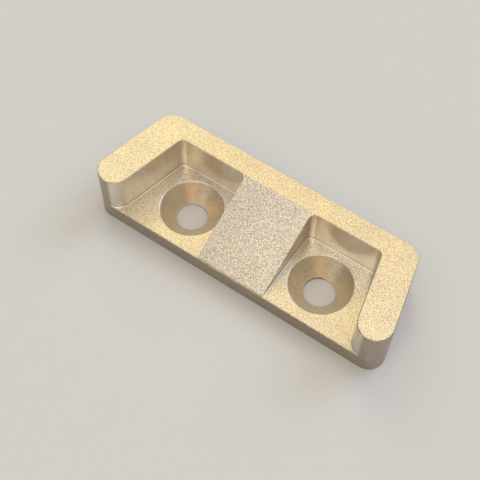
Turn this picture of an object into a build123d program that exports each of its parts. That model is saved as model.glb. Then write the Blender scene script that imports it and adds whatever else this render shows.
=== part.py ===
from build123d import *
from math import cos, radians, sqrt, tan
import os

# Mounting block, machined from one piece of plate.
# A back wall and two splayed arms stand round two open-front pockets, with a ramp between
# the pockets. One countersunk screw hole goes down through the floor of each pocket.
#
# Millimetres. The origin is midway between the two screw holes, on the flat underside.
# +X runs along the row of holes, +Y from the open front to the back wall, +Z upwards.

# Screw holes, one on each side of the origin
hole_spacing = 26.0
hole_diameter = 5.5
hole_land = 0.65              # straight part of the hole, below the countersink
countersink_diameter = 11.0
countersink_angle = 90

# Flat floor left round each countersink
floor_in_front = 2.1          # to the front face
floor_behind = 1.25           # to the back wall
floor_beside_ramp = 1.05
floor_beside_arm = 2.4        # measured square to the arm

# Walls round the pockets
block_height = 10.5
back_wall_thickness = 3.85
arm_width = 5.85              # measured square across an arm, whose front end is a full round
splay_angle = 12.4            # each arm leans inwards towards the back
back_corner_radius = 3.1
pocket_corner_radius = 1.15
floor_fillet = 0.2            # left along the foot of the walls by the cutter's nose

# Sharp edges are broken by this much
edge_break = 0.12

# How far a cutter runs past the face that it leaves
overrun = 4.0

# Heights
sink_radius = countersink_diameter / 2
sink_depth = (sink_radius - hole_diameter / 2) / tan(radians(countersink_angle / 2))
floor_thickness = hole_land + sink_depth

# Faces of the pockets and of the block
hole_x = hole_spacing / 2
ramp_x = hole_x - sink_radius - floor_beside_ramp
front_y = -sink_radius - floor_in_front
wall_y = sink_radius + floor_behind
back_y = wall_y + back_wall_thickness

# A slanting arm measures more along X than square across
lean = tan(radians(splay_angle))
along_x = 1 / cos(radians(splay_angle))


def inner_x(y):
    """Where the inner side of the right arm lies."""
    return hole_x + (sink_radius + floor_beside_arm) * along_x - y * lean


def outer_x(y):
    """Where the outer side of the right arm lies, before its corners are rounded."""
    return inner_x(y) + arm_width * along_x


# The right arm's round end touches the front face and both sides of the arm
arm_radius = arm_width / 2
end_y = front_y + arm_radius
end_x = inner_x(end_y) + arm_radius * along_x


def block_outline():
    """The plan of the block: splayed ends, round arm ends and round back corners."""
    sharp = Polyline(
        (-outer_x(front_y), front_y),
        (outer_x(front_y), front_y),
        (outer_x(back_y), back_y),
        (-outer_x(back_y), back_y),
        close=True,
    )
    outline = make_face(sharp)
    outline = fillet(outline.vertices().group_by(Axis.Y)[0], arm_radius)
    return fillet(outline.vertices().group_by(Axis.Y)[-1], back_corner_radius)


def pocket_outline():
    """The plan of the right pocket, run out past the open front.

    Beside the arm it follows the inner half of the round end, so the pocket's floor runs out
    to a point where that round meets the front face.
    """
    past_y = front_y - overrun
    round_end = CenterArc((end_x, end_y), arm_radius, 180 + splay_angle, 90 - splay_angle)
    sides = Polyline(
        round_end @ 1,
        (end_x, past_y),
        (ramp_x, past_y),
        (ramp_x, wall_y),
        (inner_x(wall_y), wall_y),
        round_end @ 0,
    )
    outline = make_face(Curve() + [sides, round_end])
    return fillet(outline.vertices().group_by(Axis.Y)[-1], pocket_corner_radius)


def pocket_cutter():
    """The right pocket, with the cutter's nose radius along the foot of its walls."""
    floor = Plane.XY.offset(floor_thickness)
    cutter = extrude(floor * pocket_outline(), block_height - floor_thickness + overrun)
    foot = cutter.edges().group_by(Axis.Z)[0]
    return fillet(foot.filter_by(lambda edge: edge.center().Y > front_y), floor_fillet)


def ramp_cutter():
    """All that stands above the ramp, out to the rounded corners of the pockets beside it.

    The ramp climbs from the pockets' floor at the front face to the top of the back wall.
    """
    slope = (block_height - floor_thickness) / (wall_y - front_y)
    past_y = front_y - overrun
    profile = Polyline(
        (past_y, floor_thickness - overrun * slope),
        (wall_y, block_height),
        (wall_y, block_height + overrun),
        (past_y, block_height + overrun),
        close=True,
    )
    half_width = ramp_x + pocket_corner_radius
    return extrude(Plane.YZ * make_face(profile), half_width, both=True)


def front_edge_cutter():
    """The break along the front edge of the floors and the ramp, from arm to arm."""
    reach = 2 * edge_break
    edge_z = floor_thickness - edge_break
    profile = Polyline(
        (front_y - reach, edge_z - reach),
        (front_y + reach, edge_z + reach),
        (front_y - reach, edge_z + reach),
        close=True,
    )
    half_width = end_x - sqrt(floor_fillet * (arm_width + floor_fillet))
    return extrude(Plane.YZ * make_face(profile), half_width, both=True)


def screw_hole_cutter():
    """A clearance hole with its countersink, run out past the floor and the underside."""
    profile = Polyline(
        (0, -overrun),
        (hole_diameter / 2, -overrun),
        (hole_diameter / 2, hole_land),
        (sink_radius, floor_thickness),
        (sink_radius, floor_thickness + edge_break),
        (0, floor_thickness + edge_break),
        close=True,
    )
    return revolve(Plane.XZ * make_face(profile), Axis.Z)


def is_ramp_head(edge):
    """True for the line where the ramp meets the top face, which stays crisp."""
    middle = edge.center()
    return abs(middle.X) < ramp_x and abs(middle.Y - wall_y) < edge_break


def is_sink_mouth(edge):
    return abs(edge.radius - sink_radius) < edge_break / 2


def mounting_block():
    block = extrude(block_outline(), block_height)
    block -= ramp_cutter()
    pocket = pocket_cutter()
    block -= pocket
    block -= mirror(pocket, Plane.YZ)
    block -= front_edge_cutter()
    for x in (-hole_x, hole_x):
        block -= Pos(x, 0, 0) * screw_hole_cutter()

    rim = block.faces().sort_by(Axis.Z)[-1].edges()
    block = chamfer(rim.filter_by(is_ramp_head, reverse=True), edge_break)
    circles = block.edges().filter_by(GeomType.CIRCLE)
    block = chamfer(circles.filter_by(is_sink_mouth), edge_break)
    underside = block.faces().sort_by(Axis.Z)[0].edges()
    return chamfer(underside, edge_break)


block = mounting_block()
block.label = "mounting_block"
block.color = Color(0.82, 0.7, 0.5)
os.makedirs("parts", exist_ok=True)
export_step(block, "parts/mounting_block.step")
print("mounting_block", round(block.volume, 1), "mm3", block.bounding_box().size)
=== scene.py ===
import math

import bpy
from mathutils import Matrix, Vector


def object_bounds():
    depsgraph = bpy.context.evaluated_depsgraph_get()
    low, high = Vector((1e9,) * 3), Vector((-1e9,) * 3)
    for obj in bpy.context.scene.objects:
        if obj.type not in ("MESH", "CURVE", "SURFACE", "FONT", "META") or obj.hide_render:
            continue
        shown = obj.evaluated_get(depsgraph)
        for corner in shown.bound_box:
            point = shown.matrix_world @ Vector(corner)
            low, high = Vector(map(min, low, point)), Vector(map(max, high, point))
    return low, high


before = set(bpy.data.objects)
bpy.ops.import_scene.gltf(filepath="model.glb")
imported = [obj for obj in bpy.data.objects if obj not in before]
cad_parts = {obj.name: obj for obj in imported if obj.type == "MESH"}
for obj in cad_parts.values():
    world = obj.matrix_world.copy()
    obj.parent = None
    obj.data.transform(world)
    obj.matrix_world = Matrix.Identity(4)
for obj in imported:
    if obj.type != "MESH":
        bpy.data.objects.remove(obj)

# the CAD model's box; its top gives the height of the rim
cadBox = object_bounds()
bpy.ops.object.select_all(action="DESELECT")
print("1 frame loaded:", ", ".join(sorted(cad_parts)))

scene = bpy.context.scene
mm = 0.001


# helpers for node trees

def newTree(name):
    material = bpy.data.materials.new(name)
    material.use_nodes = True
    tree = material.node_tree
    tree.nodes.clear()
    return material, tree


def addNode(tree, kind, label="", **settings):
    node = tree.nodes.new("ShaderNode" + kind)
    node.label = label
    for key, value in settings.items():
        setattr(node, key, value)
    return node


def feed(tree, socket, value):
    # a socket takes either another node's output or a plain value
    if isinstance(value, bpy.types.NodeSocket):
        tree.links.new(value, socket)
    else:
        socket.default_value = value


def calc(tree, operation, first, second=0.0, label=""):
    node = addNode(tree, "Math", label, operation=operation)
    feed(tree, node.inputs[0], first)
    feed(tree, node.inputs[1], second)
    return node.outputs[0]


def measure(tree, operation, first, second=None, label=""):
    # the same for vectors; it returns the node, whose outputs are Vector and Value
    node = addNode(tree, "VectorMath", label, operation=operation)
    feed(tree, node.inputs[0], first)
    if second is not None:
        feed(tree, node.inputs[1], second)
    return node


def remap(tree, value, fromLow, fromHigh, toLow=0.0, toHigh=1.0, label=""):
    # smooth and clamped at both ends
    node = addNode(tree, "MapRange", label, interpolation_type="SMOOTHSTEP")
    for socket, number in zip(node.inputs[:5], (value, fromLow, fromHigh, toLow, toHigh)):
        feed(tree, socket, number)
    return node.outputs[0]


def mixColour(tree, factor, first, second, label=""):
    node = addNode(tree, "Mix", label, data_type="RGBA")
    feed(tree, node.inputs[0], factor)
    feed(tree, node.inputs[6], first)
    feed(tree, node.inputs[7], second)
    return node.outputs[2]


def mixValue(tree, factor, first, second, label=""):
    node = addNode(tree, "Mix", label)
    feed(tree, node.inputs[0], factor)
    feed(tree, node.inputs[2], first)
    feed(tree, node.inputs[3], second)
    return node.outputs[0]


def noise(tree, place, cell, detail=2.0, roughness=0.5, label=""):
    node = addNode(tree, "TexNoise", label)
    feed(tree, node.inputs["Vector"], place)
    node.inputs["Scale"].default_value = 1.0 / cell
    node.inputs["Detail"].default_value = detail
    node.inputs["Roughness"].default_value = roughness
    return node.outputs["Fac"]


# the block: bead-blasted aluminium with a champagne coat
# each kind of face has its own coat, sheen (roughness) and strength of grain; the other coats differ from the
# top's by painted light and shade after what each face mirrors, some only in part

blastFinish = {
    "flat": {"coat": (0.895, 0.785, 0.530, 1.0), "sheen": 0.38, "grain": 1.00},
    # painted reflected light: the floor by the back wall gets a greyer, lighter coat
    "paintedLightBackFloor": {"coat": (0.890, 0.815, 0.635, 1.0), "sheen": 0.38, "grain": 1.15},
    "ramp": {"coat": (0.995, 0.875, 0.605, 1.0), "sheen": 0.42, "grain": 3.60},
    "wall": {"coat": (0.880, 0.815, 0.715, 1.0), "sheen": 0.30, "grain": 0.40},
    # painted shade: the outer walls get a dark coat for the shade they mirror
    "paintedShadeOutside": {"coat": (0.400, 0.345, 0.260, 1.0), "sheen": 0.36, "grain": 0.35},
    # painted shade: the sides of the ramp get a dark grey coat for the dark surroundings they mirror
    "side": {"coat": (0.560, 0.525, 0.460, 1.0), "sheen": 0.34, "grain": 0.40},
    "cone": {"coat": (0.870, 0.750, 0.530, 1.0), "sheen": 0.42, "grain": 0.55},
    # painted shade: a darker coat on the countersinks' broken edges tones down the highlight they catch
    "paintedShadeMouth": {"coat": (0.640, 0.560, 0.440, 1.0), "sheen": 0.42, "grain": 0.55},
    # painted highlight: a near-white coat on the thin broken edges, where they catch the light
    "paintedHighlightEdge": {"coat": (1.000, 0.960, 0.880, 1.0), "sheen": 0.30, "grain": 0.10},
    "pit": (0.310, 0.235, 0.185, 1.0),
    # painted highlights: near-white glints in the grain
    "glint": (1.000, 0.985, 0.950, 1.0),
    # painted reflections: darker upright streaks on the walls stand in for what the walls mirror
    "paintedReflectionStreak": (0.560, 0.480, 0.370, 1.0),

    # the skin: a range says from where to where in its noise a mark comes in
    "grainSize": 0.11 * mm,
    "grainTurn": (0.62, 0.41, 0.27),
    "grainDepth": 0.012 * mm,
    "grainShare": 0.7,           # of the bump, and the larger dimples have the rest
    "pitRange": (0.50, 0.34),
    "glintRange": (0.50, 0.66),
    "dimpleSize": 0.55 * mm,
    "streakSize": 1.5 * mm,
    "streakStretch": 0.3,
    "streakRange": (0.45, 0.70),
    "streakStrength": 0.22,
    "cloudSize": 4.5 * mm,
    "cloudRange": (0.35, 0.65),
    "cloudStrength": 0.06,
    "cloudSheen": 0.015,

    # where the kinds of face are
    "floorHeight": 3.4 * mm,
    "rimHeight": cadBox[1].z,
    "rampHalf": 6.45 * mm,       # from the middle to the side of the ramp
    "deepFrom": 1.2 * mm,        # the floor by the back wall begins here and is full at deepTo
    "deepTo": 3.4 * mm,
    "holeAside": 13.0 * mm,
    "sinkRadius": 5.5 * mm,
    "lineWidth": 0.2 * mm,
    "brimHighlightShare": 0.5,            # the painted highlight on the top's broken edge is only half as strong as the one at the foot

    # how they tilt, by the upward part of the normal:
    # where the mask begins, is full, is still full and has ended
    "footTilt": (0.35, 0.60, 0.970, 0.985),
    "slantTilt": (0.45, 0.60, 0.76, 0.82),
    "mouthTilt": (0.78, 0.84, 0.975, 0.99),
    "rampTilt": (0.80, 0.86, 0.93, 0.97),
    "wallTilt": (0.20, 0.45),    # a wall's mask is full up to the first and has ended at the second
    "outward": (-0.05, 0.20),    # away from the block's middle, from none to full
    "sideways": (0.5, 0.9),      # along X, from none to full
}


def faceMasks(tree, place):
    # tells the kinds of face apart by how far they tilt and by where they are
    look = blastFinish
    line, middle = look["lineWidth"], look["rampHalf"]
    floor, rim, sink = look["floorHeight"], look["rimHeight"], look["sinkRadius"]

    facing = addNode(tree, "SeparateXYZ", "which way the surface faces")
    feed(tree, facing.inputs[0], place.outputs["Normal"])
    where = addNode(tree, "SeparateXYZ", "where on the block")
    feed(tree, where.inputs[0], place.outputs["Object"])
    up, height = facing.outputs["Z"], where.outputs["Z"]
    aside = calc(tree, "ABSOLUTE", where.outputs["X"])
    along = calc(tree, "ABSOLUTE", facing.outputs["X"])

    fromHole = addNode(tree, "CombineXYZ", "from the screw hole")
    feed(tree, fromHole.inputs[0], calc(tree, "SUBTRACT", aside, look["holeAside"]))
    feed(tree, fromHole.inputs[1], where.outputs["Y"])
    reach = measure(tree, "LENGTH", fromHole.outputs[0], label="distance from the screw hole")
    reach = reach.outputs["Value"]
    away = measure(tree, "NORMALIZE", place.outputs["Object"], label="way from the middle")
    outward = measure(tree, "DOT_PRODUCT", place.outputs["Normal"], away.outputs[0], "facing away")
    outward = outward.outputs["Value"]

    def band(value, low, lowFull, highFull, high):
        rise = remap(tree, value, low, lowFull)
        fall = remap(tree, value, highFull, high, 1.0, 0.0)
        return calc(tree, "MULTIPLY", rise, fall)

    def both(first, second, label):
        return calc(tree, "MULTIPLY", first, second, label)

    slanted = band(up, *look["slantTilt"])
    wall = remap(tree, calc(tree, "ABSOLUTE", up), *look["wallTilt"], 1.0, 0.0, "walls")

    # thin lines are drawn in parts of one line's width
    # painted highlight along the foot of the walls and along the brim
    atFloor = band(height, floor - 0.1 * line, floor, floor + 0.7 * line, floor + line)
    foot = both(band(up, *look["footTilt"]), atFloor, "foot of the walls")
    foot = both(foot, remap(tree, aside, middle - 0.1 * line, middle), "not on the ramp")
    atRim = remap(tree, height, rim - 0.7 * line, rim - 0.5 * line, 0.0, look["brimHighlightShare"])
    brim = both(slanted, atRim, "brim")

    farBack = remap(tree, where.outputs["Y"], look["deepFrom"], look["deepTo"])
    onFloor = remap(tree, height, floor + 0.5 * line, floor + line, 1.0, 0.0)
    onRamp = remap(tree, aside, middle, middle + 0.1 * line, 1.0, 0.0)
    besideRamp = band(aside, middle - 0.3 * line, middle - 0.2 * line,
                      middle + 0.2 * line, middle + 1.5 * line)
    facingAlong = both(wall, remap(tree, along, *look["sideways"]), "facing along the block")
    inSink = remap(tree, reach, sink, sink + line, 1.0, 0.0)
    atMouth = band(reach, sink - 0.5 * line, sink - 0.2 * line, sink + line, sink + 1.5 * line)

    # later coats lie over earlier ones
    return {
        # painted reflected light on the floor by the back wall
        "paintedLightBackFloor": both(farBack, onFloor, "floor by the back wall"),
        "ramp": both(band(up, *look["rampTilt"]), onRamp, "ramp"),
        "wall": wall,
        # painted shade on the outer walls
        "paintedShadeOutside": both(wall, remap(tree, outward, *look["outward"]), "outer walls"),
        # painted shade on the sides of the ramp
        "side": both(facingAlong, besideRamp, "sides of the ramp"),
        "cone": both(slanted, inSink, "countersinks"),
        # painted shade on the countersinks' mouths
        "paintedShadeMouth": both(band(up, *look["mouthTilt"]), atMouth, "mouths"),
        # painted highlight on the thin edges
        "paintedHighlightEdge": calc(tree, "MAXIMUM", foot, brim, "thin edges"),
    }


def makeBlastedAluminium():
    material, tree = newTree("blastedChampagneAluminium")
    look = blastFinish
    place = addNode(tree, "TexCoord", "place on the block")
    spot = place.outputs["Object"]
    tilted = addNode(tree, "Mapping", "turned so that no face lies along the grain")
    feed(tree, tilted.inputs["Vector"], spot)
    tilted.inputs["Rotation"].default_value = look["grainTurn"]
    grain = noise(tree, tilted.outputs[0], look["grainSize"], 1.0, 0.6, "bead grain")
    dimples = noise(tree, spot, look["dimpleSize"], 2.0, 0.5, "larger dimples")
    clouds = noise(tree, spot, look["cloudSize"], 3.0, 0.5, "uneven blasting")
    # painted reflections on the walls, drawn out upwards
    upright = addNode(tree, "Mapping", "drawn out upwards")
    feed(tree, upright.inputs["Vector"], spot)
    upright.inputs["Scale"].default_value = (1.0, 1.0, look["streakStretch"])
    streaks = noise(tree, upright.outputs[0], look["streakSize"], 2.0, 0.55, "paintedReflection streaks")

    coat, sheen, strength = look["flat"]["coat"], look["flat"]["sheen"], look["flat"]["grain"]
    masks = faceMasks(tree, place)
    for kind, mask in masks.items():
        coat = mixColour(tree, mask, coat, look[kind]["coat"], kind + " coat")
        sheen = mixValue(tree, mask, sheen, look[kind]["sheen"], kind + " sheen")
        strength = mixValue(tree, mask, strength, look[kind]["grain"], kind + " grain")

    # painted reflections: darker upright streaks on the walls
    streaks = remap(tree, streaks, *look["streakRange"], 0.0, look["streakStrength"])
    paintedWallReflections = calc(tree, "MULTIPLY", streaks, masks["wall"], "streaks on walls")
    coat = mixColour(tree, paintedWallReflections, coat, look["paintedReflectionStreak"], "streaks darker")
    dark = calc(tree, "MULTIPLY", remap(tree, grain, *look["pitRange"]), strength, "pits")
    # the glints are painted highlights mixed into the coat
    bright = calc(tree, "MULTIPLY", remap(tree, grain, *look["glintRange"]), strength, "glints")
    coat = mixColour(tree, dark, coat, look["pit"], "pits darker")
    coat = mixColour(tree, bright, coat, look["glint"], "glints brighter")
    veil = remap(tree, clouds, *look["cloudRange"], 0.0, look["cloudStrength"])
    coat = mixColour(tree, veil, coat, look["pit"], "clouds")

    uneven = remap(tree, clouds, 0.3, 0.7, -look["cloudSheen"], look["cloudSheen"])
    sheen = calc(tree, "ADD", sheen, uneven, "uneven sheen")
    share = look["grainShare"]
    fine = calc(tree, "MULTIPLY", grain, share)
    coarse = calc(tree, "MULTIPLY", dimples, 1.0 - share)
    height = calc(tree, "ADD", fine, coarse)
    bump = addNode(tree, "Bump", "blast texture")
    bump.inputs["Strength"].default_value = 1.0
    bump.inputs["Distance"].default_value = look["grainDepth"]
    feed(tree, bump.inputs["Height"], height)

    shader = addNode(tree, "BsdfPrincipled", "coated metal")
    shader.inputs["Metallic"].default_value = 1.0
    feed(tree, shader.inputs["Base Color"], coat)
    feed(tree, shader.inputs["Roughness"], sheen)
    feed(tree, shader.inputs["Normal"], bump.outputs["Normal"])
    output = addNode(tree, "OutputMaterial")
    tree.links.new(shader.outputs["BSDF"], output.inputs["Surface"])
    return material


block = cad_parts["mounting_block"]
finish = makeBlastedAluminium()
for slot in block.material_slots:
    slot.material = finish
print("2 block finished:", len(block.data.polygons), "faces")


# the table that the block lies on

tableLook = {
    "reach": 20.0,
    "colour": (0.785, 0.790, 0.785, 1.0),
    "roughness": 0.85,
    "gloss": 0.1,
}


def makeTable():
    material, tree = newTree("paleTable")
    shader = addNode(tree, "BsdfPrincipled", "table")
    shader.inputs["Base Color"].default_value = tableLook["colour"]
    shader.inputs["Roughness"].default_value = tableLook["roughness"]
    shader.inputs["Specular IOR Level"].default_value = tableLook["gloss"]
    output = addNode(tree, "OutputMaterial")
    tree.links.new(shader.outputs["BSDF"], output.inputs["Surface"])

    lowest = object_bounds()[0].z
    bpy.ops.mesh.primitive_plane_add(size=2.0 * tableLook["reach"], location=(0, 0, lowest))
    table = bpy.context.object
    bpy.ops.object.transform_apply(location=True, rotation=True, scale=True)
    table.name = "table_top"
    table.data.materials.append(material)
    table.select_set(False)


makeTable()
print("3 table laid")


# soft lamps round the block, and a weak even sky
# side turns a lamp round the block, from straight behind it (+Y) towards its left arm (-X)

studio = {
    "key": {"side": 28, "height": 56, "spread": 40, "strength": 0.390, "colour": (1.00, 0.77, 0.31)},
    "backLeft": {"side": 54, "height": 34, "spread": 36, "strength": 0.365, "colour": (0.94, 0.98, 0.88)},
    "backRight": {"side": -25, "height": 36, "spread": 36, "strength": 0.950, "colour": (0.68, 0.76, 1.00)},
    "zenith": {"side": 0, "height": 88, "spread": 44, "strength": 0.460, "colour": (0.72, 0.77, 0.98)},
    "right": {"side": -75, "height": 48, "spread": 40, "strength": 0.290, "colour": (1.00, 0.89, 0.62)},
    "front": {"side": 174, "height": 59, "spread": 32, "strength": 0.365, "colour": (1.00, 0.87, 0.66)},
    "frontLeft": {"side": 110, "height": 45, "spread": 40, "strength": 0.150, "colour": (1.00, 0.97, 0.93)},
    "frontRight": {"side": -147, "height": 60, "spread": 40, "strength": 0.235, "colour": (1.00, 0.92, 0.68)},
    "amber": {"side": -142, "height": 35, "spread": 36, "strength": 0.150, "colour": (1.00, 0.42, 0.00)},
    "lowRight": {"side": -144, "height": 12, "spread": 36, "strength": 0.070, "colour": (0.84, 0.95, 1.00)},
    "lowFront": {"side": 163, "height": 25, "spread": 26, "strength": 0.120, "colour": (1.00, 0.90, 0.74)},
}
skyLight = {"level": 0.13, "backdrop": (0.66, 0.625, 0.58, 1.0)}


def addLamp(name, side, height, spread, strength, colour):
    lamp = bpy.data.lights.new(name, "SUN")
    lamp.energy = strength
    lamp.angle = math.radians(spread)
    lamp.color = colour
    holder = bpy.data.objects.new(name, lamp)
    scene.collection.objects.link(holder)
    turn, lift = math.radians(side), math.radians(height)
    towards = Vector((-math.sin(turn) * math.cos(lift), math.cos(turn) * math.cos(lift), math.sin(lift)))
    holder.rotation_euler = towards.to_track_quat("Z", "Y").to_euler()
    holder.location = towards * 0.5     # a sun lamp shines the same from anywhere


def makeSky():
    world = bpy.data.worlds.new("softRoom")
    scene.world = world
    world.use_nodes = True
    tree = world.node_tree
    tree.nodes.clear()
    light = addNode(tree, "Background", "even light")
    light.inputs["Color"].default_value = (1.0, 1.0, 1.0, 1.0)
    light.inputs["Strength"].default_value = skyLight["level"]
    backdrop = addNode(tree, "Background", "what shows past the table")
    backdrop.inputs["Color"].default_value = skyLight["backdrop"]
    backdrop.inputs["Strength"].default_value = 1.0
    seen = addNode(tree, "LightPath")
    choice = addNode(tree, "MixShader")
    tree.links.new(seen.outputs["Is Camera Ray"], choice.inputs[0])
    tree.links.new(light.outputs[0], choice.inputs[1])
    tree.links.new(backdrop.outputs[0], choice.inputs[2])
    output = addNode(tree, "OutputWorld")
    tree.links.new(choice.outputs[0], output.inputs["Surface"])


for name, lampSettings in studio.items():
    addLamp(name, **lampSettings)
makeSky()
print("4 lamps hung:", len(studio))


# the camera

cameraView = {
    "aim": (-2.02 * mm, -1.43 * mm, 5.0 * mm),
    "turn": 33.417,       # degrees from straight in front (-Y) towards the right arm
    "climb": 58.709,      # degrees above the table
    "roll": 1.194,
    "distance": 156.64 * mm,
    "lens": 70.887,
    "sensor": 36.0,
    "nearest": 5.0 * mm,
}


def addCamera():
    view = cameraView
    turn, climb = math.radians(view["turn"]), math.radians(view["climb"])
    away = Vector((math.sin(turn) * math.cos(climb), -math.cos(turn) * math.cos(climb), math.sin(climb)))
    camera = bpy.data.objects.new("viewCamera", bpy.data.cameras.new("viewCamera"))
    scene.collection.objects.link(camera)
    camera.data.lens = view["lens"]
    camera.data.sensor_width = view["sensor"]
    camera.data.clip_start = view["nearest"]
    turned = away.to_track_quat("Z", "Y").to_matrix() @ Matrix.Rotation(math.radians(view["roll"]), 3, "Z")
    camera.matrix_world = Matrix.Translation(Vector(view["aim"]) + away * view["distance"]) @ turned.to_4x4()
    scene.camera = camera


addCamera()
scene.view_settings.view_transform = "Standard"
print("5 camera set")
